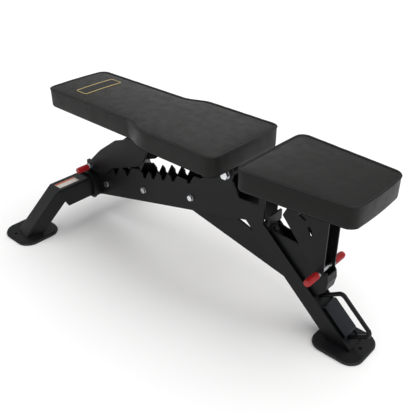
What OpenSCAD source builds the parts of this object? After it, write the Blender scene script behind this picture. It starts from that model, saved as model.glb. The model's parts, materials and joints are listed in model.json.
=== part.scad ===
// Adjustable weight bench: a flat, incline and upright bench with a notched spine.
// Millimetres. +X runs towards the seat end, Z is up and the floor is Z = 0.
// The origin is on the floor, midway between the ends and on the centre line.

/* [Pads] */
// Height of the underside of both pads above the floor
pad_base = 393; // [391:1:396]
// Height of a pad's side, from its underside to the sewn edge
pad_side = 52; // [46:1:54]
// Rise of the crowned top above the sewn edge
pad_crown = 5; // [3:1:7]
// Width of the backrest at the waist
back_width = 264; // [256:2:268]
// Width of the backrest at the head
head_width = 214; // [200:2:220]
// Width of the seat beside the backrest
seat_rear_width = 268; // [260:2:272]
// Width of the seat at its front
seat_front_width = 210; // [190:2:220]
// Thickness of the plywood boards inside the pads
board_t = 12; // [9:1:15]

/* [Frame] */
// Thickness of the side plates
plate_t = 4; // [3:0.5:4]
// Clear width between the two side plates
frame_gap = 50; // [50:0.5:51]
// Outside size of the square leg tube
leg_tube = 64; // [62:1:64]
// Wall of the leg tube
leg_wall = 3; // [2:0.5:4]
// Wall of the square sleeve that holds the leg tubes
sleeve_wall = 5; // [4:0.5:5]
// Wall of bent sheet parts
sheet = 3; // [2:0.5:3]

/* [Linkage] */
// Diameter of the two locking rods
rod_d = 12; // [11:0.5:12]
// Diameter of the hand grips
grip_d = 19; // [17:0.5:20]
// Diameter of the backrest hinge bolt
hinge_d = 16; // [14:0.5:16]
// Diameter of the seat hinge bolt and of the two strut bolts
pin_d = 12; // [10:0.5:12]
// Radial play of the moving bores on their bolts
play = 0.06; // [0.04:0.01:0.08]

/* [Feet] */
// Thickness of the steel foot plates
foot_steel = 4; // [3:0.5:5]
// Thickness of the rubber foot pads
foot_rubber = 8; // [6:0.5:10]
// Diameter of the floor holes in the feet
floor_hole_d = 10; // [9:0.5:10]

/* [Hidden] */
$fn = 48;
frame_black = "#1b1c1f";
zinc = "#c4c8cc";

washer_t = 1.5;

// Main places, as [x, z] in the middle plane of the bench
back_hinge = [133, 354];
arm_pivot = [-132, 362];
rod_rest = [-421, 190];
seat_hinge = [249, 368];
hanger_pivot = [380, 362];
seat_rod_rest = [423, 192];

// The seat-end leg: its front edge starts here and slopes down towards the floor
leg_top = [255, 259];
leg_angle = 41.2;
foot_top = foot_steel + foot_rubber;
leg_front_foot = leg_top.x + (leg_top.y - foot_top) / tan(leg_angle);

// Widths, each measured from the middle plane
plate_in = frame_gap / 2;
plate_out = plate_in + plate_t;
back_frame_half = plate_in - 1;
seat_frame_half = plate_in - 1.5;
hanger_in = seat_frame_half + 0.5;
hanger_out = hanger_in + sheet + 1;
arm_in = plate_out + 3;
arm_out = arm_in + 6;
rod_half = 87;
seat_rod_half = 76;

// The spine: its lower edge rises towards the seat
spine_angle = 14.47;
function spine_edge(x) = 98 + tan(spine_angle) * (x + 380);
spine_bolt_x = [-359, -182, 10];
spine_bolt_rise = 39;
spine_tube_low = 2;
spine_tube_h = 60;
spine_bolt_d = 10;

// The sleeve across the head end
sleeve_x = -430;
sleeve_z = 131;
sleeve_size = leg_tube + 2 + 2 * sleeve_wall;
sleeve_half = 57;
sleeve_bolt_y = 36;
sleeve_front = sleeve_x + sleeve_size / 2;
sleeve_top = sleeve_z + sleeve_size / 2;

// Backrest angles of the ladder notches. The support arms have a fixed length, so each
// angle puts the rod at one place on the ladder's seat line.
back_angles = [23.5, 32.8, 44.9, 50.3, 56.6, 63.1, 75];
seat_line_start = [-311, 199];
seat_line_dir = [cos(15.1), sin(15.1)];
arm_length = norm(arm_pivot - rod_rest);
function turned(v, a) = [v.x * cos(a) - v.y * sin(a), v.x * sin(a) + v.y * cos(a)];
// Where a circle round a centre meets a line, on the side towards the line's end
function reach(centre, radius, start, dir) =
    let (w = start - centre, along = w * dir)
    start + dir * (-along - sqrt(along * along - w * w + radius * radius));
function back_notch(angle) =
    reach(back_hinge + turned(arm_pivot - back_hinge, -angle), arm_length,
        seat_line_start, seat_line_dir);

// Seat angles of the leg ladder's notches, found in the same way along the leg
seat_angles = [0, 8, 16];
strut_length = norm(hanger_pivot - seat_rod_rest);
leg_up = [-cos(leg_angle), sin(leg_angle)];
leg_out = [sin(leg_angle), cos(leg_angle)];
function seat_notch(angle) =
    reach(seat_hinge + turned(hanger_pivot - seat_hinge, angle), strut_length,
        seat_rod_rest, leg_up);
// A place in the leg's own directions: distance down its front edge and height above it
function on_leg_axes(p) = [-(p - leg_top) * leg_up, (p - leg_top) * leg_out];

// Notch size
notch_r = rod_d / 2 + 0.4;

// Pads
back_low_end = 178;
back_head_end = -501;
flare_start = -148;
flare_end = -58;
seat_rear = 240;
seat_front = 535;
pad_corner = 26;
board_inset = 10;
pad_bolt_d = 8;
back_bolt_x = [-340, -150, 60];
seat_bolt_x = [275, 340, 405];
pad_bolt_y = 12;

// Feet
head_foot_corner = 38;
seat_foot_corner = 34;
foot_x = [434, 564];
seat_foot_half = 60;
head_foot_y = [170, 300];
head_hole = [-512, 285];
seat_hole = [544, 0];
rubber_lip = 2;

// Leg front
web_low = -9;
web_high = -5;
web_bolt_at = [28, 116, 203];
web_bolt_d = 8;
handle_d = 11;
handle_at = [242, 363];
handle_height = 61;
handle_bend = 13;
handle_lean = 15.5;
cover_span = [246, 338];
cover_rise = 12;

// ---------------------------------------------------------------- helpers
// A side view, drawn with x to the seat end and y up, made solid between two widths
module across(y0, y1) {
    translate([0, max(y0, y1), 0])
        rotate([90, 0, 0])
            linear_extrude(abs(y1 - y0))
                children();
}

// The same side view, made solid on both sides of the middle plane
module both_sides(inner, outer) {
    across(-outer, -inner) children();
    across(inner, outer) children();
}

// A round bar across the bench
module bar(at, d, y0, y1) {
    across(y0, y1)
        translate(at)
            circle(d = d);
}

// Rounds the corners of a flat outline that stand out
module eased(r) {
    offset(r = r, $fn = 32)
        offset(delta = -r)
            children();
}

// A rectangle with true round corners, between two opposite corners
module round_rect(low, high, r) {
    translate(low + [r, 0]) square(high - low - [2 * r, 0]);
    translate(low + [0, r]) square(high - low - [0, 2 * r]);
    for (x = [low.x + r, high.x - r])
        for (y = [low.y + r, high.y - r])
            translate([x, y]) circle(r);
}

// A hexagon head or nut that stands from y0 to y1
module hexagon(at, flats, y0, y1) {
    across(y0, y1)
        translate(at)
            circle(d = flats / cos(30), $fn = 6);
}

// Places children in the leg's own directions: x down the front edge, z out from it
module on_leg() {
    translate([leg_top.x, 0, leg_top.y])
        rotate([0, leg_angle, 0])
            children();
}

// A bolt through the bench: washer and head on the right side, threaded end on the left
module cross_bolt(at, d, flats, face) {
    head_face = face + washer_t;
    bar(at, d, -face, head_face + 0.95 * d);
    bar(at, 1.2 * flats, -head_face, -face);
    hexagon(at, flats, -head_face - 0.55 * d, -head_face);
}

// A washer and nut on the left side of a cross bolt
module cross_nut(at, d, flats, face) {
    nut_face = face + washer_t;
    difference() {
        union() {
            bar(at, 1.2 * flats, face, nut_face);
            hexagon(at, flats, nut_face, nut_face + 0.8 * d);
        }
        bar(at, d + 0.1, face - 1, nut_face + d);
    }
}

// ---------------------------------------------------------------- fixed frame
// A notch for a rod: a round seat, a steep lower wall and a sloping upper wall
module notch_shape(at) {
    translate(at) {
        circle(notch_r);
        polygon([[-notch_r + 0.1, 0], [-notch_r - 1, 6], [-notch_r - 15, 16], [-notch_r - 15, 30],
            [notch_r + 16, 30], [notch_r - 0.1, 0]]);
    }
}

module side_plate_outline() {
    difference() {
        union() {
            eased(4) polygon([
                [sleeve_front, spine_edge(sleeve_front)], [201, spine_edge(201)],
                [467, foot_top], [leg_front_foot, foot_top], leg_top,
                [258, 362], [240, 362], [238, 302], [176, 302], [154, 342], [112, 346],
                [44, 306], [22, 306], [-6, 283], [-84, 283], [-330, 214], [-396, 193],
                [-411, 187], [-430, 193], [-438, 206], [-452, 198], [-452, sleeve_top],
                [sleeve_front, sleeve_top]]);
            // Square ends where the plate meets the sleeve and the foot
            translate([sleeve_front, spine_edge(sleeve_front) + 2]) square([8, 60]);
            translate([475, foot_top]) square([54, 8]);
            translate(back_hinge) circle(22);
            translate(seat_hinge) circle(pin_d);
        }
        for (angle = back_angles) notch_shape(back_notch(angle));
        translate(rod_rest) circle(notch_r);
        translate(back_hinge) circle(d = hinge_d + 0.1);
        translate(seat_hinge) circle(d = pin_d + 0.1);
        for (x = spine_bolt_x)
            translate([x, spine_edge(x) + spine_bolt_rise]) circle(d = spine_bolt_d + 0.1);
    }
}

module side_plate_right() {
    color(frame_black) across(-plate_out, -plate_in) side_plate_outline();
}

module side_plate_left() {
    color(frame_black) across(plate_in, plate_out) side_plate_outline();
}

// The band of the side view that runs along the spine between two heights
module spine_band(x0, x1, low, high) {
    polygon([[x0, spine_edge(x0) + low], [x1, spine_edge(x1) + low],
        [x1, spine_edge(x1) + high], [x0, spine_edge(x0) + high]]);
}

module spine_tube() {
    color(frame_black) difference() {
        across(-plate_in, plate_in)
            spine_band(sleeve_front, 150, spine_tube_low, spine_tube_low + spine_tube_h);
        across(sheet - plate_in, plate_in - sheet)
            spine_band(sleeve_front - 1, 151, spine_tube_low + sheet,
                spine_tube_low + spine_tube_h - sheet);
        for (x = spine_bolt_x)
            bar([x, spine_edge(x) + spine_bolt_rise], spine_bolt_d + 0.1, -plate_out, plate_out);
    }
}

// A plate on the middle plane, from under the spine tube to under the leg web
module frame_gusset() {
    low_start = -49;
    top_end = 119;
    web_contact = [140, 190];
    color(frame_black) across(-3, 3)
        polygon(concat(
            [for (x = [low_start, top_end]) [x, spine_edge(x) + spine_tube_low]],
            [for (along = web_contact) leg_top - along * leg_up + web_low * leg_out],
            [[370, 99.6]]));
}

module head_crossmember() {
    half = sleeve_size / 2;
    inner = half - sleeve_wall;
    color(frame_black) difference() {
        union() {
            across(-sleeve_half, sleeve_half)
                round_rect([sleeve_x - half, sleeve_z - half], [sleeve_x + half, sleeve_z + half], 6);
            // A plate strip with square edges joins the sleeve to the side plates
            across(-plate_out, plate_out)
                translate([sleeve_x, sleeve_z - half]) square([half, 2 * half]);
            both_sides(sleeve_half - 8, sleeve_half)
                round_rect([sleeve_x - half - 2, sleeve_z - half - 2],
                    [sleeve_x + half + 2, sleeve_z + half + 2], 7);
        }
        across(-sleeve_half - 1, sleeve_half + 1)
            round_rect([sleeve_x - inner, sleeve_z - inner], [sleeve_x + inner, sleeve_z + inner], 3);
        for (y = [-sleeve_bolt_y, sleeve_bolt_y])
            translate([sleeve_x, y, sleeve_z - half - 3])
                cylinder(d = spine_bolt_d + 0.3, h = sleeve_wall + 4);
    }
}

// A bent leg of square tube. It leaves the sleeve sideways, then turns down and outwards
// at a mitred knee, and it is cut level on its foot plate. Below the knee the tube is less
// deep, with its outer face flush.
leg_dir = [-67, -96, -151] / norm([67, 96, 151]);
knee = [sleeve_x, -160, sleeve_z];
lower_depth = 44;
mitre = (leg_dir + [0, -1, 0]) / norm(leg_dir + [0, -1, 0]);
// The lower tube's own sideways and upward directions, carried round the mitre
function carried(v) = v - 2 * (v * mitre) * mitre;
leg_side = carried([1, 0, 0]);
leg_face = carried([0, 0, 1]);

// Stands children on their z axis along a direction, from a point
module aimed(at, x_dir, y_dir, z_dir) {
    multmatrix([[x_dir.x, y_dir.x, z_dir.x, at.x], [x_dir.y, y_dir.y, z_dir.y, at.y],
        [x_dir.z, y_dir.z, z_dir.z, at.z], [0, 0, 0, 1]])
        children();
}

// A square tube whose underside is raised to leave a given depth
module leg_section(length, depth, grow) {
    half = leg_tube / 2 + grow;
    linear_extrude(length)
        round_rect([-half, leg_tube / 2 - depth - grow], [half, half], max(5 + grow, 1.5));
}

// The space on one side of the mitre plane, starting a small gap away from it
module knee_block(side, gap) {
    mitre_x = cross([0, 0, 1], mitre) / norm(cross([0, 0, 1], mitre));
    aimed(knee, mitre_x, cross(mitre, mitre_x), mitre)
        translate([-200, -200, side > 0 ? gap : -300 - gap])
            cube([400, 400, 300]);
}

module leg_solid(grow, extra, end_wall) {
    // Upper stretch, up to the mitre
    intersection() {
        aimed([sleeve_x, -22 + extra, sleeve_z], [1, 0, 0], [0, 0, 1], [0, -1, 0])
            leg_section(240, leg_tube, grow);
        knee_block(-1, end_wall);
    }
    // Lower stretch, from the mitre to the foot
    intersection() {
        aimed(knee - 60 * leg_dir, leg_side, leg_face, leg_dir)
            leg_section(340, lower_depth, grow);
        knee_block(1, 0);
        translate([-700, -400, foot_top - extra]) cube([400, 400, 300]);
    }
}

module bent_leg() {
    difference() {
        leg_solid(0, 0, 0);
        leg_solid(-leg_wall, 1, leg_wall);
        translate([sleeve_x, -sleeve_bolt_y, sleeve_z - leg_tube / 2 - 1])
            cylinder(d = spine_bolt_d + 0.3, h = leg_wall + 2);
    }
}

module head_leg_right() {
    color(frame_black) bent_leg();
}

module head_leg_left() {
    color(frame_black) mirror([0, 1, 0]) bent_leg();
}

// Foot outlines, seen from above
module head_foot_outline(lip) {
    round_rect([-foot_x[1] - lip, -head_foot_y[1] - lip], [-foot_x[0] + lip, -head_foot_y[0] + lip],
        head_foot_corner + lip);
}

module seat_foot_outline(lip) {
    round_rect([foot_x[0] - lip, -seat_foot_half - lip], [foot_x[1] + lip, seat_foot_half + lip],
        seat_foot_corner + lip);
}

module foot_slab(base, thickness, hole) {
    difference() {
        translate([0, 0, base]) linear_extrude(thickness) children();
        translate([hole.x, hole.y, base - 1]) cylinder(d = floor_hole_d, h = thickness + 2);
    }
}

module head_foot_plate() {
    foot_slab(foot_rubber, foot_steel, [head_hole.x, -head_hole.y]) head_foot_outline(0);
}

module head_foot_pad() {
    foot_slab(0, foot_rubber, [head_hole.x, -head_hole.y]) head_foot_outline(rubber_lip);
}

module head_foot_plate_right() {
    color(frame_black) head_foot_plate();
}

module head_foot_plate_left() {
    color(frame_black) mirror([0, 1, 0]) head_foot_plate();
}

module seat_foot_plate() {
    color(frame_black) foot_slab(foot_rubber, foot_steel, seat_hole) seat_foot_outline(0);
}

module head_foot_pad_right() {
    color("#26272a") head_foot_pad();
}

module head_foot_pad_left() {
    color("#26272a") mirror([0, 1, 0]) head_foot_pad();
}

module seat_foot_pad() {
    color("#26272a") foot_slab(0, foot_rubber, seat_hole) seat_foot_outline(rubber_lip);
}

module leg_web() {
    web_end = (leg_top.y - foot_top) / sin(leg_angle);
    color(frame_black) difference() {
        union() {
            on_leg() across(-plate_in, plate_in)
                polygon([[4, web_low], [web_end + web_low / tan(leg_angle), web_low],
                    [web_end + web_high / tan(leg_angle), web_high], [4, web_high]]);
            across(-plate_in, plate_in)
                polygon([[252, 244], [262, 244], [272, 258], [272, 285], [266, 285], [266, 262],
                    [252, 262]]);
        }
        for (at = web_bolt_at)
            on_leg() translate([at, 0, web_low - 1])
                cylinder(d = web_bolt_d + 0.2, h = web_high - web_low + 2);
    }
}

// A bent cover: it rises off the web, runs level and curls down at its foot
module cover_profile(inset, corner) {
    eased(corner) translate([cover_span[0] + inset, web_high - 12])
        square([cover_span[1] - cover_span[0] - 2 * inset, cover_rise + 12 - web_high - inset]);
}

module leg_cover() {
    color("#2a2e33") on_leg() across(-plate_in + 1, plate_in - 1)
        difference() {
            cover_profile(0, 7);
            cover_profile(sheet, 4);
            translate([240, web_high - 30]) square([120, 30]);
        }
}

// The seat ladder: a channel with hooked teeth, standing on the web
module seat_ladder_outline() {
    difference() {
        polygon([[20, web_high], [217, web_high], [217, 34], [203, 58], [188, 71], [180, 73],
            [176, 66], [166, 54.6], [158, 56.8], [152, 58], [140, 60], [112, 62], [98, 60],
            [40, 14], [20, 4]]);
        for (angle = seat_angles)
            translate(on_leg_axes(seat_notch(angle))) circle(notch_r);
    }
}

module seat_ladder() {
    outer = 20;
    color(frame_black) on_leg() difference() {
        union() {
            both_sides(outer - plate_t, outer) seat_ladder_outline();
            across(plate_t - outer, outer - plate_t)
                translate([20, web_high]) square([197, plate_t]);
            across(plate_t - outer, outer - plate_t)
                translate([217 - plate_t, web_high]) square([plate_t, 34 - web_high]);
            // A strip closes the channel along the outer edge of the hook
            across(plate_t - outer, outer - plate_t)
                polygon([[217, 33], [203, 58], [188, 71], [185.4, 68], [199.8, 55.6], [213, 33]]);
        }
        for (at = web_bolt_at)
            translate([at, 0, web_high - 1])
                cylinder(d = web_bolt_d + 0.2, h = plate_t + 2);
    }
}

// A bend of the handle, from one angle through another, round a place along the leg. It is
// a little thicker than the straight stretches, whose ends lie inside it.
module handle_corner(at, start, turn) {
    translate([at, 0, handle_height - handle_bend])
        rotate([90, 0, 0])
            rotate(start)
                rotate_extrude(angle = turn)
                    translate([handle_bend, 0]) circle(d = handle_d + 0.4);
}

// A round bar loop on the web. Both its ends lean towards the floor.
module carry_handle() {
    turns = [90 - handle_lean, 90 + handle_lean];
    trims = [for (turn = turns) handle_bend * tan(turn / 2)];
    rise = handle_height - web_high;
    overlap = 1;
    color(frame_black) on_leg() difference() {
        union() {
            for (end = [0, 1])
                translate([handle_at[end] - rise * tan(handle_lean), 0, web_high])
                    rotate([0, handle_lean, 0])
                        translate([0, 0, -5])
                            cylinder(d = handle_d,
                                h = rise / cos(handle_lean) - trims[end] + 5 + overlap);
            handle_corner(handle_at[0] + trims[0], 90, turns[0]);
            handle_corner(handle_at[1] - trims[1], -handle_lean, turns[1]);
            translate([handle_at[0] + trims[0] - overlap, 0, handle_height])
                rotate([0, 90, 0])
                    cylinder(d = handle_d,
                        h = handle_at[1] - handle_at[0] - trims[0] - trims[1] + 2 * overlap);
        }
        translate([handle_at[0] - 60, -20, web_high - 20]) cube([200, 40, 20]);
    }
}

// ---------------------------------------------------------------- fasteners of the frame
module spine_bolts() {
    color(zinc) for (x = spine_bolt_x)
        cross_bolt([x, spine_edge(x) + spine_bolt_rise], spine_bolt_d, 15, plate_out);
}

module spine_nuts() {
    color(zinc) for (x = spine_bolt_x)
        cross_nut([x, spine_edge(x) + spine_bolt_rise], spine_bolt_d, 15, plate_out);
}

module leg_web_bolts() {
    color("#3a3d42") on_leg() for (at = web_bolt_at) {
        base = web_high + plate_t;
        translate([at, 0, web_low - 8]) cylinder(d = web_bolt_d, h = base - web_low + 8);
        translate([at, 0, base]) cylinder(d = 13 / cos(30), h = 5, $fn = 6);
    }
}

module sleeve_bolts() {
    under = sleeve_z - sleeve_size / 2;
    color("#3a3d42") for (y = [-sleeve_bolt_y, sleeve_bolt_y]) {
        translate([sleeve_x, y, under]) cylinder(d = spine_bolt_d, h = sleeve_wall + 14);
        translate([sleeve_x, y, under - 6]) cylinder(d = 17 / cos(30), h = 6, $fn = 6);
    }
}

module back_hinge_bolt() {
    color(zinc) cross_bolt(back_hinge, hinge_d, 22, plate_out);
}

module back_hinge_nut() {
    color(zinc) cross_nut(back_hinge, hinge_d, 22, plate_out);
}

module seat_hinge_bolt() {
    color(zinc) cross_bolt(seat_hinge, pin_d, 19, plate_out);
}

module seat_hinge_nut() {
    color(zinc) cross_nut(seat_hinge, pin_d, 19, plate_out);
}

// ---------------------------------------------------------------- backrest
// Half width of the backrest: narrow at the head, flaring smoothly to the waist
function back_half(x) =
    let (s = min(max((x - flare_start) / (flare_end - flare_start), 0), 1))
    (head_width + (back_width - head_width) * (1 - cos(180 * s)) / 2) / 2;
back_steps = [flare_start : (flare_end - flare_start) / 12 : flare_end];

module back_outline() {
    eased(pad_corner) polygon(concat(
        [[back_head_end + 6, -head_width / 2], [back_head_end, -head_width / 6],
            [back_head_end, head_width / 6], [back_head_end + 6, head_width / 2]],
        [for (x = back_steps) [x, back_half(x)]],
        [[back_low_end, back_width / 2], [back_low_end, -back_width / 2]],
        [for (x = back_steps) [flare_start + flare_end - x,
            -back_half(flare_start + flare_end - x)]]));
}

module seat_outline() {
    eased(pad_corner) polygon([
        [seat_rear, -seat_rear_width / 2], [seat_rear, seat_rear_width / 2],
        [seat_front - 6, seat_front_width / 2], [seat_front, seat_front_width / 6],
        [seat_front, -seat_front_width / 6], [seat_front - 6, -seat_front_width / 2]]);
}

// A cushion with a low crown and a pocket underneath for its board
module cushion() {
    difference() {
        union() {
            translate([0, 0, pad_base]) linear_extrude(pad_side) children();
            translate([0, 0, pad_base + pad_side - 1])
                linear_extrude(1 + pad_crown / 2) offset(delta = -12) children();
            translate([0, 0, pad_base + pad_side - 1])
                linear_extrude(1 + pad_crown) offset(delta = -32) children();
        }
        translate([0, 0, pad_base - 1])
            linear_extrude(board_t + 1) offset(delta = -board_inset) children();
    }
}

module board(bolt_x) {
    difference() {
        translate([0, 0, pad_base]) linear_extrude(board_t) offset(delta = -board_inset) children();
        for (x = bolt_x)
            for (y = [-pad_bolt_y, pad_bolt_y])
                translate([x, y, pad_base - 1]) cylinder(d = pad_bolt_d + 0.2, h = board_t + 2);
    }
}

// Bolts that hold a board down: heads under the channel's top, inside it
module pad_bolts(bolt_x) {
    head_top = pad_base - sheet;
    for (x = bolt_x)
        for (y = [-pad_bolt_y, pad_bolt_y]) {
            translate([x, y, head_top]) cylinder(d = pad_bolt_d, h = sheet + board_t - 2);
            translate([x, y, head_top - 5]) cylinder(d = 13 / cos(30), h = 5, $fn = 6);
        }
}

// An upside-down channel under a pad, open at both ends, with holes for the pad bolts
module channel(half, bolt_x) {
    difference() {
        across(-half, half) children();
        across(sheet - half, half - sheet)
            translate([-600, pad_base - sheet - 200]) square([1200, 200]);
        for (x = bolt_x)
            for (y = [-pad_bolt_y, pad_bolt_y])
                translate([x, y, pad_base - sheet - 1])
                    cylinder(d = pad_bolt_d + 0.2, h = sheet + 2);
    }
}

// A bush between a channel's walls
module bush(at, d, bore, half) {
    across(-half, half)
        difference() {
            translate(at) circle(d = d);
            translate(at) circle(d = bore);
        }
}

module back_pad() {
    color("#2e2d2d") cushion() back_outline();
}

module back_board() {
    color("#8a6a45") board(back_bolt_x) back_outline();
}

module back_frame() {
    bore = hinge_d + 2 * play;
    color(frame_black) difference() {
        union() {
            channel(back_frame_half, back_bolt_x)
                union() {
                    polygon([[-400, pad_base], [-400, 372], [-296, 336], [-60, 336], [60, 344],
                        [124, 336], [150, 346], [150, pad_base]]);
                    translate(back_hinge) circle(19);
                }
            bush(back_hinge, 27, bore, back_frame_half);
            bush(arm_pivot, 20, pin_d + 0.1, back_frame_half);
        }
        bar(back_hinge, bore, -back_frame_half - 1, back_frame_half + 1);
        bar(arm_pivot, pin_d + 0.1, -back_frame_half - 1, back_frame_half + 1);
    }
}

module back_pad_bolts() {
    color(zinc) pad_bolts(back_bolt_x);
}

// ---------------------------------------------------------------- backrest support
module support_pivot_bolt() {
    color(zinc) cross_bolt(arm_pivot, pin_d, 19, arm_out + 0.5);
}

module support_pivot_nut() {
    color(zinc) cross_nut(arm_pivot, pin_d, 19, arm_out + 0.5);
}

module support_pivot_bushings() {
    color(zinc) both_sides(back_frame_half, arm_in - 0.5)
        difference() {
            translate(arm_pivot) circle(d = 22);
            translate(arm_pivot) circle(d = pin_d + 0.1);
        }
}

// A bent flat arm: broad in the middle, round at the pivot, hooked over the rod
module support_arm_outline() {
    difference() {
        union() {
            eased(5) polygon([[-452, 180], [-364, 263], [-291, 316], [-205, 347], [-146, 378],
                [-116, 373], [-114, 352], [-152, 324], [-168, 290], [-195, 264], [-251, 242],
                [-314, 217], [-352, 185], [-392, 173], [-436, 173]]);
            translate(arm_pivot) circle(20);
            translate(rod_rest) circle(17);
        }
        translate(arm_pivot) circle(d = pin_d + 2 * play);
        translate(rod_rest) circle(d = rod_d);
    }
}

module support_arm_right() {
    color(frame_black) across(-arm_out, -arm_in) support_arm_outline();
}

module support_arm_left() {
    color(frame_black) across(arm_in, arm_out) support_arm_outline();
}

// A sleeve on a rod
module rod_sleeve(at, d, y0, y1) {
    across(y0, y1)
        difference() {
            translate(at) circle(d = d);
            translate(at) circle(d = rod_d);
        }
}

// A ribbed hand grip with a closed, slightly smaller end
module grip(at, side, start, end) {
    rib = 4.2;
    ribs = floor((end - start) / rib);
    across(side * start, side * end)
        difference() {
            translate(at) circle(d = grip_d - 1.4);
            translate(at) circle(d = rod_d);
        }
    for (i = [0 : ribs - 1])
        rod_sleeve(at, grip_d, side * (start + i * rib), side * (start + i * rib + 2.6));
    across(side * end, side * (end + 2.5))
        translate(at) circle(d = grip_d - 2);
}

module support_rod() {
    color(zinc) bar(rod_rest, rod_d, -rod_half, rod_half);
}

module support_grip_right() {
    color("#b3242a") grip(rod_rest, -1, arm_out + 13, rod_half);
}

module support_grip_left() {
    color("#b3242a") grip(rod_rest, 1, arm_out + 13, rod_half);
}

module support_collars() {
    color(zinc) {
        rod_sleeve(rod_rest, 17, -arm_out - 8, -arm_out);
        rod_sleeve(rod_rest, 17, arm_out, arm_out + 8);
    }
}

// ---------------------------------------------------------------- seat
module seat_pad() {
    color("#2e2d2d") cushion() seat_outline();
}

module seat_board() {
    color("#8a6a45") board(seat_bolt_x) seat_outline();
}

module seat_frame() {
    bore = pin_d + 2 * play;
    color(frame_black) difference() {
        union() {
            channel(seat_frame_half, seat_bolt_x)
                union() {
                    polygon([[244, pad_base], [238, 380], [249, 356], [366, 352], [394, 352],
                        [430, 376], [430, pad_base]]);
                    translate(seat_hinge) circle(pin_d);
                    translate(hanger_pivot) circle(14);
                }
            bush(seat_hinge, 20, bore, seat_frame_half);
            bush(hanger_pivot, 20, pin_d + 0.1, seat_frame_half);
        }
        bar(seat_hinge, bore, -seat_frame_half - 1, seat_frame_half + 1);
        bar(hanger_pivot, pin_d + 0.1, -seat_frame_half - 1, seat_frame_half + 1);
    }
}

module seat_pad_bolts() {
    color(zinc) pad_bolts(seat_bolt_x);
}

module hanger_pivot_bolt() {
    color(zinc) cross_bolt(hanger_pivot, pin_d, 19, hanger_out + 0.5);
}

module hanger_pivot_nut() {
    color(zinc) cross_nut(hanger_pivot, pin_d, 19, hanger_out + 0.5);
}

// ---------------------------------------------------------------- seat support
// Two side plates, joined by a web set back from their front edges
module seat_hanger() {
    front = 434;
    web_at = [400, 250];
    color(frame_black) {
        both_sides(hanger_in, hanger_out)
            difference() {
                union() {
                    eased(4) polygon([[front, 188], [front, 338], [400, 370], [362, 372],
                        [330, 352], [309, 308], [406, 199], [414, 181], [426, 180]]);
                    translate(hanger_pivot) circle(14);
                }
                translate(hanger_pivot) circle(d = pin_d + 2 * play);
                translate(seat_rod_rest) circle(d = rod_d);
                polygon([[352, 327], [372, 317], [376, 324], [358, 334]]);
                polygon([[380, 304], [388, 284], [392, 280], [394, 298], [386, 308]]);
            }
        across(-hanger_in, hanger_in)
            translate(web_at) square([sheet, 330 - web_at.y]);
    }
}

module seat_rod() {
    color(zinc) bar(seat_rod_rest, rod_d, -seat_rod_half, seat_rod_half);
}

module seat_grip_right() {
    color("#b3242a") grip(seat_rod_rest, -1, hanger_out + 9, seat_rod_half);
}

module seat_grip_left() {
    color("#b3242a") grip(seat_rod_rest, 1, hanger_out + 9, seat_rod_half);
}

module seat_collars() {
    color("#3a3d42") {
        rod_sleeve(seat_rod_rest, 17, -hanger_out - 8, -hanger_out);
        rod_sleeve(seat_rod_rest, 17, hanger_out, hanger_out + 8);
    }
}

side_plate_right();
side_plate_left();
spine_tube();
frame_gusset();
head_crossmember();
head_leg_right();
head_leg_left();
head_foot_plate_right();
head_foot_plate_left();
seat_foot_plate();
head_foot_pad_right();
head_foot_pad_left();
seat_foot_pad();
leg_web();
leg_cover();
seat_ladder();
carry_handle();
spine_bolts();
spine_nuts();
leg_web_bolts();
sleeve_bolts();
back_hinge_bolt();
back_hinge_nut();
seat_hinge_bolt();
seat_hinge_nut();
back_pad();
back_board();
back_frame();
back_pad_bolts();
support_pivot_bolt();
support_pivot_nut();
support_pivot_bushings();
support_arm_right();
support_arm_left();
support_rod();
support_grip_right();
support_grip_left();
support_collars();
seat_pad();
seat_board();
seat_frame();
seat_pad_bolts();
hanger_pivot_bolt();
hanger_pivot_nut();
seat_hanger();
seat_rod();
seat_grip_right();
seat_grip_left();
seat_collars();
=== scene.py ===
import json
import math

import bmesh
import bpy
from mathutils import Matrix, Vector, noise
from mathutils.bvhtree import BVHTree


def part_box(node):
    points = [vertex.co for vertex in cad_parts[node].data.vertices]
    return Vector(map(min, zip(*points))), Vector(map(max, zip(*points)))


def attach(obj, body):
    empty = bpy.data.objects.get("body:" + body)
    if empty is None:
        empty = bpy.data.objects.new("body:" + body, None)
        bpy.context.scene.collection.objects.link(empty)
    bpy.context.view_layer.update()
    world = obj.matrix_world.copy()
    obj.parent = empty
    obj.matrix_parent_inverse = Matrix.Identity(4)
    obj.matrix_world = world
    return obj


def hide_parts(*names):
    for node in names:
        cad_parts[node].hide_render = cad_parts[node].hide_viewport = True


# Adjustable weight bench: the looks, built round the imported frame. Metres, +X to the seat end.
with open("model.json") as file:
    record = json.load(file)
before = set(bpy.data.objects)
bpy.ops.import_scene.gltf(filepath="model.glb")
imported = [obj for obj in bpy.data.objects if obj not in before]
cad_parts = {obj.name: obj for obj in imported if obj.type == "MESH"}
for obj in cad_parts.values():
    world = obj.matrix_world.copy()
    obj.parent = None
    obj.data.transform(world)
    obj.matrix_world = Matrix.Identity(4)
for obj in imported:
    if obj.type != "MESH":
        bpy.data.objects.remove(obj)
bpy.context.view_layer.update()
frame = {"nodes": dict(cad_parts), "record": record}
NODES = frame["nodes"]
SCENE = bpy.context.scene
MM = 0.001


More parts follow.
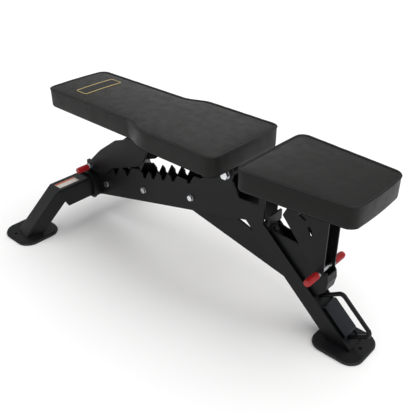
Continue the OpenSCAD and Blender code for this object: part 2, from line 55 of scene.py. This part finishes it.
# ---------------------------------------------------------------- materials
class Shader:
    """A node material: short calls for the nodes that the materials below share."""

    def __init__(self, name, tint):
        self.material = bpy.data.materials.new(name)
        self.material.use_nodes = True
        self.material.diffuse_color = (*tint, 1.0)
        self.tree = self.material.node_tree
        self.surface = self.tree.nodes["Principled BSDF"]
        self.place = self.add("ShaderNodeTexCoord").outputs["Object"]

    def add(self, kind, **settings):
        """A new node, with its inputs or its own properties set by name."""
        node = self.tree.nodes.new(kind)
        for key, value in settings.items():
            if key in node.inputs:
                node.inputs[key].default_value = value
            else:
                setattr(node, key, value)
        return node

    def link(self, source, target):
        self.tree.links.new(source, target)

    def noise(self, scale, detail=2.0, stretch=(1.0, 1.0, 1.0)):
        """A noise value of that many features per metre, stretched by axis."""
        mapping = self.add("ShaderNodeMapping", Scale=stretch)
        self.link(self.place, mapping.inputs["Vector"])
        texture = self.add("ShaderNodeTexNoise", Scale=scale, Detail=detail)
        self.link(mapping.outputs["Vector"], texture.inputs["Vector"])
        return texture.outputs["Fac"]

    def cells(self, scale):
        """Distance to the border of the nearest cell, with that many cells per metre."""
        texture = self.add("ShaderNodeTexVoronoi", feature="DISTANCE_TO_EDGE", Scale=scale)
        self.link(self.place, texture.inputs["Vector"])
        return texture.outputs["Distance"]

    def spread(self, value, low, high, into=(0.0, 1.0)):
        """Maps low..high of a value onto a range, held inside it."""
        node = self.add("ShaderNodeMapRange")
        for key, number in zip(("From Min", "From Max", "To Min", "To Max"), (low, high, *into)):
            node.inputs[key].default_value = number
        self.link(value, node.inputs["Value"])
        return node.outputs["Result"]

    def colours(self, value, dark, light):
        """Colour of the surface: dark where the value is 0, light where it is 1."""
        ramp = self.add("ShaderNodeValToRGB")
        ramp.color_ramp.elements[0].color = (*dark, 1.0)
        ramp.color_ramp.elements[1].color = (*light, 1.0)
        self.link(value, ramp.inputs["Fac"])
        self.link(ramp.outputs["Color"], self.surface.inputs["Base Color"])

    def roughness(self, value, low, high, into):
        """Roughness from a value's range low..high."""
        self.link(self.spread(value, low, high, into), self.surface.inputs["Roughness"])

    def relief(self, layers, edge=0.0):
        """Bumps from (value, depth in metres) layers, over edges softened to a radius."""
        normal = None
        if edge:
            bevel = self.add("ShaderNodeBevel", samples=4, Radius=edge)
            normal = bevel.outputs["Normal"]
        for value, depth in layers:
            bump = self.add("ShaderNodeBump", Strength=1.0, Distance=depth)
            self.link(value, bump.inputs["Height"])
            if normal is not None:
                self.link(normal, bump.inputs["Normal"])
            normal = bump.outputs["Normal"]
        self.link(normal, self.surface.inputs["Normal"])

    def set(self, **settings):
        """Sets constants on the surface and returns the finished material."""
        for key, value in settings.items():
            self.surface.inputs[key.replace("_", " ")].default_value = value
        return self.material


def powder_coat(name, tone, edge=0.8 * MM):
    """Satin powder coat: an orange-peel skin with faint dust and rubbed patches."""
    shader = Shader(name, tone)
    patches = shader.noise(9.0, 4.0)
    speckle = shader.noise(1500.0, 2.0)
    mixed = shader.add("ShaderNodeMath", operation="MULTIPLY_ADD")
    shader.link(speckle, mixed.inputs[0])
    mixed.inputs[1].default_value = 0.5
    shader.link(shader.spread(patches, 0.3, 0.7, (0.0, 0.5)), mixed.inputs[2])
    shader.colours(mixed.outputs[0], [0.7 * c for c in tone], [1.35 * c for c in tone])
    shader.roughness(patches, 0.3, 0.7, (0.36, 0.50))
    shader.relief([(shader.noise(420.0, 2.0), 0.10 * MM), (speckle, 0.03 * MM)], edge)
    return shader.set(Metallic=0.0, IOR=1.5, Specular_IOR_Level=0.2)


def leatherette(name, tone):
    """Fine-grained leatherette: small pebbles split by creases, with broad soft shading."""
    shader = Shader(name, tone)
    pebbles = shader.cells(640.0)
    creases = shader.cells(210.0)
    clouds = shader.noise(6.0, 5.0)
    shader.colours(shader.spread(clouds, 0.3, 0.7), [0.9 * c for c in tone],
                   [1.1 * c for c in tone])
    shader.roughness(shader.noise(40.0, 4.0), 0.3, 0.7, (0.36, 0.48))
    shader.relief([
        (shader.noise(22.0, 2.0), 0.2 * MM),
        (shader.spread(creases, 0.0, 0.08), 0.05 * MM),
        (shader.spread(pebbles, 0.0, 0.25), 0.09 * MM)])
    return shader.set(IOR=1.48, Specular_IOR_Level=0.15, Sheen_Weight=0.03, Sheen_Roughness=0.4)


def plated_steel(name, tone, grain=900.0):
    """Bright zinc: metal with fine turned marks and cloudy passivation."""
    shader = Shader(name, tone)
    clouds = shader.noise(60.0, 4.0)
    marks = shader.noise(grain, 2.0, (1.0, 0.08, 1.0))
    shader.colours(shader.spread(clouds, 0.3, 0.7), [0.8 * c for c in tone], tone)
    shader.roughness(marks, 0.3, 0.7, (0.18, 0.34))
    shader.relief([(marks, 0.02 * MM)], 0.5 * MM)
    return shader.set(Metallic=1.0)


def moulded_rubber(name, tone, rough, grain=0.08 * MM):
    """Moulded rubber with a fine grain, lighter and duller where it is worn."""
    shader = Shader(name, tone)
    wear = shader.noise(35.0, 4.0)
    shader.colours(shader.spread(wear, 0.3, 0.75), [0.75 * c for c in tone],
                   [1.25 * c for c in tone])
    shader.roughness(wear, 0.3, 0.7, (rough, rough + 0.14))
    shader.relief([(shader.noise(1100.0, 3.0), grain)], 0.6 * MM)
    return shader.set(IOR=1.45)


def birch_plywood(name, tone):
    """Plywood: a long figure on the face and its plies along the edges."""
    shader = Shader(name, tone)
    figure = shader.noise(16.0, 6.0, (0.6, 5.0, 1.0))
    plies = shader.add("ShaderNodeTexWave", wave_type="BANDS", bands_direction="Z", Scale=180.0)
    shader.link(shader.place, plies.inputs["Vector"])
    shader.colours(shader.spread(figure, 0.3, 0.7), [0.6 * c for c in tone],
                   [1.25 * c for c in tone])
    shader.roughness(figure, 0.3, 0.7, (0.55, 0.75))
    shader.relief([(figure, 0.15 * MM), (plies.outputs["Fac"], 0.05 * MM)])
    return shader.set(IOR=1.45)


def woven_thread(name, tone):
    """Thread or woven cloth with a visible twist."""
    shader = Shader(name, tone)
    twist = shader.noise(1600.0, 2.0)
    shader.colours(shader.spread(twist, 0.3, 0.7), [0.6 * c for c in tone], tone)
    shader.relief([(twist, 0.1 * MM)])
    return shader.set(Roughness=0.75)


def printed_film(name, tone):
    """A satin self-adhesive film with a lightly soiled surface."""
    shader = Shader(name, tone)
    soil = shader.noise(120.0, 5.0)
    shader.colours(shader.spread(soil, 0.35, 0.75), tone, [0.8 * c for c in tone])
    shader.roughness(soil, 0.3, 0.7, (0.35, 0.55))
    shader.relief([(shader.noise(300.0, 2.0), 0.03 * MM)])
    return shader.set(IOR=1.5)


PAINT = powder_coat("powder_coat_black", (0.0065, 0.0068, 0.0078))
# A lighter, bluer copy of the frame paint for the leg cover: painted light, standing in for the
# brighter, cooler light that the cover catches.
LIT_COVER_PAINT = powder_coat("powder_coat_cover_painted_light", (0.013, 0.016, 0.020))
HIDE = leatherette("leatherette_charcoal", (0.0125, 0.0121, 0.0116))
ZINC = plated_steel("bright_zinc", (0.78, 0.80, 0.83))
BLACK_STEEL = powder_coat("black_zinc", (0.035, 0.037, 0.041), 0.5 * MM)
GRIP = moulded_rubber("red_rubber", (0.41, 0.010, 0.013), 0.30)
TREAD = moulded_rubber("foot_rubber_black", (0.018, 0.019, 0.021), 0.6, 0.15 * MM)
PLY = birch_plywood("birch_plywood", (0.42, 0.28, 0.16))
THREAD = woven_thread("sewing_thread", (0.055, 0.053, 0.05))
GOLD_THREAD = woven_thread("pale_gold_thread", (0.62, 0.50, 0.22))
PATCH = woven_thread("woven_patch", (0.012, 0.012, 0.013))
LABEL_GREY = printed_film("label_grey", (0.74, 0.70, 0.66))
LABEL_ORANGE = printed_film("label_orange", (0.62, 0.12, 0.03))
SLOT_MATERIAL = {
    "frame_paint": PAINT, "zinc_steel": ZINC, "black_hardware": BLACK_STEEL,
    "grip_rubber": GRIP, "foot_rubber": TREAD, "plywood": PLY, "upholstery": HIDE}


def dress_frame():
    """Gives each CAD node the material of its slot; the leg cover gets a lighter, bluer copy of the
    frame paint, which is painted light.
    """
    for part in frame["record"]["subparts"]:
        node = NODES[part["node"]]
        material = SLOT_MATERIAL[part["material_slot"]]
        # The leg cover takes the lighter copy of the frame paint, which is painted light rather
        # than a paint of its own.
        if part["node"] == "leg_cover":
            material = LIT_COVER_PAINT
        for place in node.material_slots:
            place.material = material


# ---------------------------------------------------------------- mesh helpers
def make_piece(name, points, faces, material, body, slot):
    """A smooth mesh in the scene. With a body, it rides on that body. The slot is not used."""
    mesh = bpy.data.meshes.new(name)
    mesh.from_pydata([tuple(p) for p in points], [], faces)
    mesh.validate()
    mesh.materials.append(material)
    for face in mesh.polygons:
        face.use_smooth = True
    piece = bpy.data.objects.new(name, mesh)
    SCENE.collection.objects.link(piece)
    if body:
        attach(piece, body)
    return piece


def tube(path, radius, closed=True, sides=8):
    """Points and faces of a tube round a path. radius is a number or a function of the index."""
    count = len(path)
    points, faces = [], []
    up = Vector((0.0, 0.0, 1.0))
    for i, at in enumerate(path):
        before = path[i - 1] if closed or i else path[0]
        after = path[(i + 1) % count] if closed or i < count - 1 else path[-1]
        along = (after - before).normalized()
        side = along.cross(up)
        side = side.normalized() if side.length > 1e-6 else Vector((1.0, 0.0, 0.0))
        lift = side.cross(along)
        r = radius(i) if callable(radius) else radius
        for k in range(sides):
            turn = 2 * math.pi * k / sides
            points.append(at + r * (math.cos(turn) * side + math.sin(turn) * lift))
    for i in range(count if closed else count - 1):
        for k in range(sides):
            a, b = i * sides + k, i * sides + (k + 1) % sides
            c, d = (((i + 1) % count) * sides + (k + 1) % sides, ((i + 1) % count) * sides + k)
            faces.append((a, b, c, d))
    if not closed:
        faces.append(tuple(reversed(range(sides))))
        faces.append(tuple(range((count - 1) * sides, count * sides)))
    return points, faces


def merge(parts):
    """Joins (points, faces) lists into one."""
    points, faces = [], []
    for more_points, more_faces in parts:
        start = len(points)
        points.extend(more_points)
        faces.extend(tuple(start + i for i in face) for face in more_faces)
    return points, faces


def resample(loop, step):
    """Evenly spaced points round a closed loop, each with its direction."""
    lengths = [(loop[(i + 1) % len(loop)] - p).length for i, p in enumerate(loop)]
    total = sum(lengths)
    count = max(3, round(total / step))
    result, i, passed = [], 0, 0.0
    for k in range(count):
        target = total * k / count
        while passed + lengths[i] < target:
            passed += lengths[i]
            i += 1
        ahead = loop[(i + 1) % len(loop)] - loop[i]
        result.append((loop[i] + ahead * ((target - passed) / lengths[i]), ahead.normalized()))
    return result


# ---------------------------------------------------------------- cushions
CORNER = 26 * MM             # corner radius of the pads
CAD_CROWN = 5 * MM           # how far a CAD pad's top stands above its sewn edge
OUTER_BOW, INNER_BOW = 5 * MM, 1 * MM    # bow of the bench's two ends, and of the ends that meet
BOW_REACH = 90 * MM          # how far along the pad a bow fades out
CELL = 7 * MM                # mesh spacing on the broad faces
BASE_ROUND = 5 * MM          # how far in the hide turns at the board
BASE_SHARE = 0.1             # share of a side's height over which it turns in
CROWN = 8.5 * MM             # most that the top swells above its sewn edge
BULGE = 4.5 * MM             # most that a side swells
SHOULDER = 14 * MM           # distance over which the top falls to its edge
SEAM_INSET = 7 * MM          # the top stitch line, in from the sewn edge
GROOVE_DEPTH, GROOVE_WIDTH = 1.3 * MM, 1.1 * MM
LIP_AT, LIP_HEIGHT, LIP_WIDTH = 3.4 * MM, 1.6 * MM, 2.4 * MM
PUCKER_DEPTH, PUCKER_REACH = 0.45 * MM, 16 * MM
TUCK_DEPTH = 0.5 * MM
TUCKS_PER_METRE = 46
TUCK_AT, TUCK_SPAN = 0.95, 0.5           # where the tucks are deepest, as shares of a side
PIPING_RADIUS = 1.5 * MM
STITCH_PITCH = 4.6 * MM
# Along one stitch, in mm: place, and the thread's radius there
STITCH = ((-1.55, 0.22), (-0.9, 0.42), (0.0, 0.48), (0.9, 0.42), (1.55, 0.22))
# Mesh lines near an edge, close together beside the groove, and their coarse version
FINE_STEPS = [x * MM for x in (0, 1.1, 2.3, 3.5, 4.7, 5.7, 6.4, 7, 7.6, 8.3, 9.4,
                               11, 13.5, 17, 21, 25.5)]
COARSE_STEPS = [x * MM for x in (0, 6, 12, 18, 25.5)]
# Rows up a side wall, as shares of its height
FINE_LEVELS = (0.015, 0.05, 0.1, 0.17, 0.26, 0.36, 0.46, 0.56, 0.66, 0.75, 0.83, 0.9, 0.945, 0.975)
COARSE_LEVELS = (0.12, 0.3, 0.5, 0.7, 0.88)
CLOTH_FRAMES = 20


class Pad:
    """A cushion between two ends, with a half width that depends on x."""

    def __init__(self, node, half, bows):
        low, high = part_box(node)
        self.start, self.end = low.x, high.x
        self.base = low.z
        self.edge = high.z - CAD_CROWN
        self.half, self.bows = half, bows

    def reach(self, x):
        """Half width at x, with the corners rounded off."""
        gap = min(x - self.start, self.end - x)
        if gap >= CORNER:
            return self.half(x)
        return self.half(x) - CORNER + math.sqrt(max(0.0, CORNER ** 2 - (CORNER - gap) ** 2))

    def edge_gap(self, x, y):
        """Distance from a place on the top to the sewn edge."""
        gap = min(x - self.start, self.end - x)
        inward = self.half(x) - abs(y)
        if gap < CORNER and inward < CORNER:
            return CORNER - math.hypot(CORNER - gap, CORNER - inward)
        return min(gap, inward)

    def bowed(self, x, y):
        """The ends bow outwards a little in the middle."""
        share = (y / self.half(x)) ** 2
        shift = 0.0
        for end, bow in ((self.start, self.bows[0]), (self.end, -self.bows[1])):
            fade = max(0.0, 1 - abs(x - end) / BOW_REACH)
            shift += bow * share * fade * fade
        return x + shift

    def grid(self, steps):
        """Stations along x and, for each, the row of y values."""
        clear = self.end - self.start - 2 * steps[-1]
        count = max(1, round(clear / CELL))
        inner = [steps[-1] + i * clear / count for i in range(1, count)]
        xs = ([self.start + s for s in steps] + [self.start + s for s in inner]
              + [self.end - s for s in reversed(steps)])
        middle = max(4, round((2 * self.half(self.start) - 2 * steps[-1]) / CELL))
        rows = []
        for x in xs:
            reach = self.reach(x)
            inside = reach - steps[-1]
            ys = ([-reach + s for s in steps]
                  + [-inside + 2 * inside * i / middle for i in range(1, middle)]
                  + [reach - s for s in reversed(steps)])
            rows.append([(x, y) for y in ys])
        return rows

    def shell(self, steps, levels):
        """A closed quad mesh: top, bottom and a wall with rows at the given levels.

        Returns points, faces, (x, y, wall level or None) for each point, and the top's rim."""
        rows = self.grid(steps)
        nx, ny = len(rows), len(rows[0])
        points, faces, facts = [], [], []
        for z in (self.edge, self.base):
            for row in rows:
                for x, y in row:
                    points.append(Vector((self.bowed(x, y), y, z)))
                    facts.append((x, y, None))
        sheet = nx * ny
        for i in range(nx - 1):
            for j in range(ny - 1):
                a = i * ny + j
                faces.append((a, a + ny, a + ny + 1, a + 1))
                faces.append((sheet + a, sheet + a + 1, sheet + a + ny + 1, sheet + a + ny))
        ring = ([i * ny for i in range(nx)] + [(nx - 1) * ny + j for j in range(1, ny)]
                + [i * ny + ny - 1 for i in range(nx - 2, -1, -1)] + list(range(ny - 2, 0, -1)))
        below = [sheet + i for i in ring]
        for level in levels:
            row = []
            for i in ring:
                x, y, _ = facts[i]
                row.append(len(points))
                points.append(Vector((points[i].x, points[i].y,
                                      self.base + level * (self.edge - self.base))))
                facts.append((x, y, level))
            faces.extend(self.wall(below, row))
            below = row
        faces.extend(self.wall(below, ring))
        return points, faces, facts, ring

    @staticmethod
    def wall(low, high):
        """Faces between two rings of points."""
        count = len(low)
        return [(low[i], low[(i + 1) % count], high[(i + 1) % count], high[i])
                for i in range(count)]


def inflate(pad, name):
    """Blows up a coarse copy of the pad as cloth, and returns a function from a place on the
    uninflated pad to how far the cloth moved there."""
    points, faces, _, ring = pad.shell(COARSE_STEPS, COARSE_LEVELS)
    rest = BVHTree.FromPolygons(points, faces)
    proxy = make_piece(name, points, faces, HIDE, None, None)
    pins = proxy.vertex_groups.new(name="pins")
    pins.add([i for i, p in enumerate(points) if p.z < pad.base + 0.1 * MM], 1.0, "REPLACE")
    pins.add(ring, 1.0, "REPLACE")
    hide = proxy.modifiers.new("inflation", "CLOTH").settings
    hide.quality = 6
    hide.mass = 0.3
    hide.tension_stiffness = 12
    hide.compression_stiffness = 12
    hide.shear_stiffness = 4
    hide.bending_stiffness = 0.4
    hide.use_pressure = True
    hide.uniform_pressure_force = 4.0
    hide.vertex_group_mass = "pins"
    hide.effector_weights.gravity = 0.0
    for step in range(1, CLOTH_FRAMES + 1):
        SCENE.frame_set(step)
    blown = proxy.evaluated_get(bpy.context.evaluated_depsgraph_get())
    moves = [blown.data.vertices[i].co - p for i, p in enumerate(points)]
    SCENE.frame_set(1)
    bpy.data.objects.remove(proxy)

    def moved(place):
        found, _, index, _ = rest.find_nearest(place)
        corners = faces[index]
        weights = [1 / ((points[i] - found).length + 0.2 * MM) ** 2 for i in corners]
        total = sum(weights)
        return sum((moves[i] * (w / total) for i, w in zip(corners, weights)), Vector())

    return moved


def ridge(gap, at, height, width):
    """Height of a ridge that runs round the top at one distance from the sewn edge."""
    return height * math.exp(-((gap - at) / width) ** 2)


def cushion(name, pad, body, node):
    """The finished cushion: an inflated hide with a stitched groove, tucks and a turned base."""
    points, faces, facts, ring = pad.shell(FINE_STEPS, FINE_LEVELS)
    moved = inflate(pad, name + "_cloth")
    outward = {}
    count = len(ring)
    for k, i in enumerate(ring):
        along = points[ring[(k + 1) % count]] - points[ring[k - 1]]
        outward[facts[i][:2]] = Vector((along.y, -along.x, 0.0)).normalized()
    shaped = []
    for point, (x, y, level) in zip(points, facts):
        move = moved(point)
        new = point.copy()
        tuck = noise.noise(Vector((x * TUCKS_PER_METRE, y * TUCKS_PER_METRE, 3.0)))
        if level is not None:
            out = outward[(x, y)]
            push = BULGE * math.tanh(move.dot(out) / BULGE)
            fold = max(0.0, 1 - abs(level - TUCK_AT) / TUCK_SPAN)
            new += out * (push + TUCK_DEPTH * tuck * fold)
            if level < BASE_SHARE:
                new -= out * BASE_ROUND * (1 - math.sqrt(1 - (1 - level / BASE_SHARE) ** 2))
        elif point.z > pad.base + MM:
            gap = max(0.0, pad.edge_gap(x, y))
            rise = CROWN * math.tanh(max(0.0, move.z) / CROWN)
            groove = ridge(gap, SEAM_INSET, GROOVE_DEPTH, GROOVE_WIDTH)
            lip = ridge(gap, LIP_AT, LIP_HEIGHT, LIP_WIDTH)
            pucker = PUCKER_DEPTH * tuck * math.exp(-gap / PUCKER_REACH)
            new.z += rise * (1 - math.exp(-(gap / SHOULDER) ** 2)) + lip - groove + pucker
        else:
            out = outward.get((x, y))
            if out is not None:
                new -= out * BASE_ROUND
            new.z += 0.3 * MM
        shaped.append(new)
    piece = make_piece(name, shaped, faces, HIDE, None, None)
    smooth = piece.modifiers.new("fine", "SUBSURF")
    smooth.levels = smooth.render_levels = 1
    mesh = bpy.data.meshes.new_from_object(piece.evaluated_get(
        bpy.context.evaluated_depsgraph_get()))
    piece.modifiers.clear()
    piece.data = mesh
    for face in mesh.polygons:
        face.use_smooth = True
    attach(piece, body)
    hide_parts(node)
    sewn_edge(name, [shaped[i] for i in ring], piece, body)
    return piece


def surface_of(piece):
    """A search tree of a piece's faces."""
    mesh = piece.data
    return BVHTree.FromPolygons([v.co.copy() for v in mesh.vertices],
                                [tuple(f.vertices) for f in mesh.polygons])


def on_top(tree, x, y, lift):
    """The place on top of a surface at x and y, lifted off it."""
    found, normal, _, _ = tree.ray_cast(Vector((x, y, 1.0)), Vector((0, 0, -1)))
    return (found + normal * lift) if found else None


def sewn_edge(name, loop, piece, body):
    """The piped seam at the sewn edge, and the top stitches that run beside it."""
    path = [p for p, _ in resample(loop, 5 * MM)]
    make_piece(name + "_piping", *tube(path, PIPING_RADIUS), HIDE, body, "upholstery")
    tree = surface_of(piece)
    stitches = []
    for at, along in resample(loop, STITCH_PITCH):
        inward = Vector((-along.y, along.x, 0.0)) * SEAM_INSET
        ends = []
        for end, _ in STITCH:
            spot = at + inward + along * end * MM
            lift = 0.35 * MM * (1 - abs(end) / 1.8) - 0.05 * MM
            ends.append(on_top(tree, spot.x, spot.y, lift))
        if all(ends):
            stitches.append(tube(ends, lambda i: STITCH[i][1] * MM, closed=False, sides=5))
    make_piece(name + "_stitches", *merge(stitches), THREAD, body, "upholstery")


BACK_BOX, SEAT_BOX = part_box("back_pad"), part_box("seat_pad")
HEAD_TO_WAIST = 0.811                # the head's width as a share of the waist's
FLARE_START, FLARE_LENGTH = 0.52, 0.133      # as shares of the backrest's length
SEAT_TAPER = 0.216                   # share of its width that the seat loses at its front


def back_half(x):
    """Half width of the backrest: narrow at the head, flaring smoothly to the waist."""
    low, high = BACK_BOX
    waist = high.y
    head = waist * HEAD_TO_WAIST
    share = (x - low.x) / (high.x - low.x)
    turn = min(max((share - FLARE_START) / FLARE_LENGTH, 0.0), 1.0)
    return head + (waist - head) * (1 - math.cos(math.pi * turn)) / 2


def seat_half(x):
    """Half width of the seat, which narrows to its front."""
    low, high = SEAT_BOX
    share = (x - low.x) / (high.x - low.x)
    return high.y * (1 - SEAT_TAPER * share)


def make_cushions():
    """Both cushions. Returns the backrest's, which carries the badge."""
    back = Pad("back_pad", back_half, (OUTER_BOW, INNER_BOW))
    seat = Pad("seat_pad", seat_half, (INNER_BOW, OUTER_BOW))
    back_piece = cushion("back_cushion", back, "backrest", "back_pad")
    cushion("seat_cushion", seat, "seat", "seat_pad")
    return back_piece


# ---------------------------------------------------------------- badge and label
BADGE_FROM_HEAD = 114 * MM           # its centre, in from the head end
BADGE_HALF_X, BADGE_HALF_Y, BADGE_CORNER = 22 * MM, 66 * MM, 6 * MM
BADGE_LIFT = 0.5 * MM
PATCH_SHARES = (0.97, 0.985)         # the patch ends under the middle of its border
LABEL_BACK, LABEL_FRONT = 13 * MM, 17 * MM       # its long edges, from the sleeve's middle
LABEL_NEAR, LABEL_FAR = 108 * MM, 36 * MM        # its ends, out from the sleeve's end
LABEL_LIFT = 0.15 * MM
BAND_WIDTH, BAND_MARGIN, BAND_LIFT = 8 * MM, 1 * MM, 0.2 * MM
FILM_THICKNESS = 0.15 * MM


def rounded_box_loop(half_x, half_y, radius, steps=8):
    """A loop round a rectangle with round corners, about the origin."""
    loop = []
    for quarter in range(4):
        cx = (half_x - radius) * (1 if quarter in (0, 3) else -1)
        cy = (half_y - radius) * (1 if quarter in (0, 1) else -1)
        for k in range(steps + 1):
            turn = math.pi / 2 * (quarter + k / steps)
            loop.append(Vector((cx + radius * math.cos(turn), cy + radius * math.sin(turn), 0)))
    return loop


def plain_badge(back_piece):
    """A blank woven patch with a thin border, sewn near the head of the backrest."""
    centre = Vector((BACK_BOX[0].x + BADGE_FROM_HEAD, 0.0, 0.0))
    tree = surface_of(back_piece)
    nx, ny = 12, 44
    points, faces = [], []
    for i in range(nx + 1):
        for j in range(ny + 1):
            x = centre.x + BADGE_HALF_X * (2 * i / nx - 1) * PATCH_SHARES[0]
            y = BADGE_HALF_Y * (2 * j / ny - 1) * PATCH_SHARES[1]
            points.append(on_top(tree, x, y, BADGE_LIFT))
    for i in range(nx):
        for j in range(ny):
            a = i * (ny + 1) + j
            faces.append((a, a + ny + 1, a + ny + 2, a + 1))
    make_piece("badge_patch", points, faces, PATCH, "backrest", "upholstery")
    loop = [p + centre for p in rounded_box_loop(BADGE_HALF_X, BADGE_HALF_Y, BADGE_CORNER)]
    path = [on_top(tree, p.x, p.y, BADGE_LIFT) for p, _ in resample(loop, 1.6 * MM)]
    border = tube(path, lambda i: (1.25 + 0.2 * (i % 2)) * MM, sides=6)
    make_piece("badge_border", *border, GOLD_THREAD, "backrest", "upholstery")


def flat_strip(name, low, high, z, material, rows=6):
    """A thin level film between two opposite corners."""
    points, faces = [], []
    for i in range(rows + 1):
        for j in range(rows + 1):
            points.append(Vector((low[0] + (high[0] - low[0]) * i / rows,
                                  low[1] + (high[1] - low[1]) * j / rows, z)))
    for i in range(rows):
        for j in range(rows):
            k = i * (rows + 1) + j
            faces.append((k, k + rows + 1, k + rows + 2, k + 1))
    piece = make_piece(name, points, faces, material, "frame", "frame_paint")
    piece.modifiers.new("thickness", "SOLIDIFY").thickness = FILM_THICKNESS


def blank_label():
    """A plain two-tone label on top of the right head-end leg."""
    sleeve_low, sleeve_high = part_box("head_crossmember")
    middle = (sleeve_low.x + sleeve_high.x) / 2
    left, right = middle - LABEL_BACK, middle + LABEL_FRONT
    near, far = sleeve_low.y - LABEL_NEAR, sleeve_low.y - LABEL_FAR
    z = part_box("head_leg_right")[1].z + LABEL_LIFT
    flat_strip("label_base", (left, near), (right, far), z, LABEL_GREY)
    flat_strip("label_band", (left + BAND_MARGIN, near + BAND_MARGIN),
               (left + BAND_WIDTH, far - BAND_MARGIN), z + BAND_LIFT, LABEL_ORANGE)


# ---------------------------------------------------------------- feet, welds
TREAD_PITCH = 6.4 * MM
# Height above the floor and depth of a tread rib, then its shape across, all in mm and shares
TREAD_PROFILE = ((0.3, 0.4), (0.9, 1.3), (5.6, 1.5), (6.9, 1.2), (7.5, 0.3))
TREAD_SECTION = ((-1.7, 0.35), (-1.1, 1.0), (1.1, 1.0), (1.7, 0.35))
WELD_RADIUS = 2.2 * MM


def foot_tread(node, number):
    """Small moulded ribs round the edge of a rubber foot pad."""
    low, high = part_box(node)
    centre = (low + high) / 2
    outline = hull_loop(node, high.z - 0.5 * MM)
    heights, across = len(TREAD_PROFILE), len(TREAD_SECTION)
    faces = [(i * across + k, i * across + k + 1, (i + 1) * across + k + 1, (i + 1) * across + k)
             for i in range(heights - 1) for k in range(across - 1)]
    ribs = []
    for at, along in resample(outline, TREAD_PITCH):
        out = Vector((along.y, -along.x, 0.0))
        if out.dot(at - centre) < 0:
            out = -out
        rib = []
        for height, depth in TREAD_PROFILE:
            for side, share in TREAD_SECTION:
                rib.append(Vector((at.x, at.y, height * MM)) + along * side * MM
                           + out * (depth * share - 0.1) * MM)
        ribs.append((rib, faces))
    make_piece(f"foot_tread_{number}", *merge(ribs), TREAD, "frame", "foot_rubber")


def hull_loop(node, height, band=1.2 * MM):
    """The loop round a node's vertices near one height, counter-clockwise."""
    flat = sorted({(round(v.co.x, 5), round(v.co.y, 5)) for v in NODES[node].data.vertices
                   if abs(v.co.z - height) < band})

    def half_hull(places):
        chain = []
        for p in places:
            while len(chain) > 1 and ((chain[-1][0] - chain[-2][0]) * (p[1] - chain[-2][1])
                                      - (chain[-1][1] - chain[-2][1]) * (p[0] - chain[-2][0])) <= 0:
                chain.pop()
            chain.append(p)
        return chain[:-1]

    return [Vector((x, y, height)) for x, y in half_hull(flat) + half_hull(reversed(flat))]


def weld(name, loop):
    """A rippled weld bead along a closed loop."""
    path = [p for p, _ in resample(loop, 1.8 * MM)]
    bead = tube(path, lambda i: WELD_RADIUS * (0.86 + 0.14 * math.sin(i * 1.35)))
    make_piece(name, *bead, PAINT, "frame", "frame_paint")


def make_details(back_piece):
    """Badge, label, foot treads and the welds of the head-end feet."""
    plain_badge(back_piece)
    blank_label()
    for number, node in enumerate(("head_foot_pad_right", "head_foot_pad_left", "seat_foot_pad")):
        foot_tread(node, number)
    for side in ("right", "left"):
        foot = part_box(f"head_foot_plate_{side}")[1].z
        weld(f"foot_weld_{side}", hull_loop(f"head_leg_{side}", foot))


# ---------------------------------------------------------------- studio
LIT_WORLD, SEEN_WORLD = 0.36, 1.0


def area_light(name, place, target, size, power, colour=(1, 1, 1)):
    """A round lamp of a size in metres and a power in watts, aimed at a target."""
    lamp = bpy.data.lights.new(name, "AREA")
    lamp.shape, lamp.size = "DISK", size
    lamp.energy, lamp.color = power, colour
    holder = bpy.data.objects.new(name, lamp)
    SCENE.collection.objects.link(holder)
    holder.location = place
    holder.rotation_euler = (Vector(target) - Vector(place)).to_track_quat("-Z", "Y").to_euler()


def make_floor():
    """A wide sheet of white paper, for the shadows."""
    mesh = bpy.data.meshes.new("floor")
    grid = bmesh.new()
    bmesh.ops.create_grid(grid, x_segments=8, y_segments=8, size=14.0)
    grid.to_mesh(mesh)
    grid.free()
    floor = bpy.data.objects.new("floor", mesh)
    SCENE.collection.objects.link(floor)
    paper = Shader("paper", (0.9, 0.9, 0.9))
    paper.colours(paper.noise(3.0, 2.0), (0.93, 0.93, 0.93), (0.95, 0.95, 0.95))
    mesh.materials.append(paper.set(Roughness=0.9, Specular_IOR_Level=0.1))


def make_world():
    """A backdrop that is seen as white, but lights the bench less than it shows."""
    world = bpy.data.worlds.new("studio")
    SCENE.world = world
    world.use_nodes = True
    sky = world.node_tree.nodes["Background"]
    sky.inputs["Color"].default_value = (1, 1, 1, 1)
    path = world.node_tree.nodes.new("ShaderNodeLightPath")
    level = world.node_tree.nodes.new("ShaderNodeMapRange")
    level.inputs["To Min"].default_value = LIT_WORLD
    level.inputs["To Max"].default_value = SEEN_WORLD
    world.node_tree.links.new(path.outputs["Is Camera Ray"], level.inputs["Value"])
    world.node_tree.links.new(level.outputs["Result"], sky.inputs["Strength"])


def make_lights():
    """A broad light overhead, a softbox that shines along the pads, and a cool side strip."""
    overhead = bpy.data.lights.new("overhead", "SUN")
    overhead.energy, overhead.angle = 2.5, math.radians(75)
    lamp = bpy.data.objects.new("overhead", overhead)
    SCENE.collection.objects.link(lamp)
    lamp.rotation_euler = Vector((0.25, 0.12, 1.0)).to_track_quat("Z", "Y").to_euler()
    area_light("strip", (1.9, 0.5, 1.1), (0.3, 0, 0.35), 0.7, 2.5, (0.93, 0.96, 1.0))
    area_light("softbox", (-2.5, 2.6, 2.0), (0, 0, 0.4), 2.5, 12)


def make_camera():
    """The view from the bench's right, above its seat end."""
    camera = bpy.data.cameras.new("camera")
    camera.lens, camera.sensor_width = 50.82, 36.0
    view = bpy.data.objects.new("camera", camera)
    SCENE.collection.objects.link(view)
    view.location = (0.9700, -1.0165, 1.0424)
    view.rotation_euler = [math.radians(a) for a in (58.68, 0.0, 42.27)]
    SCENE.camera = view
    SCENE.view_settings.view_transform = "Standard"


dress_frame()
make_details(make_cushions())
make_floor()
make_world()
make_lights()
make_camera()
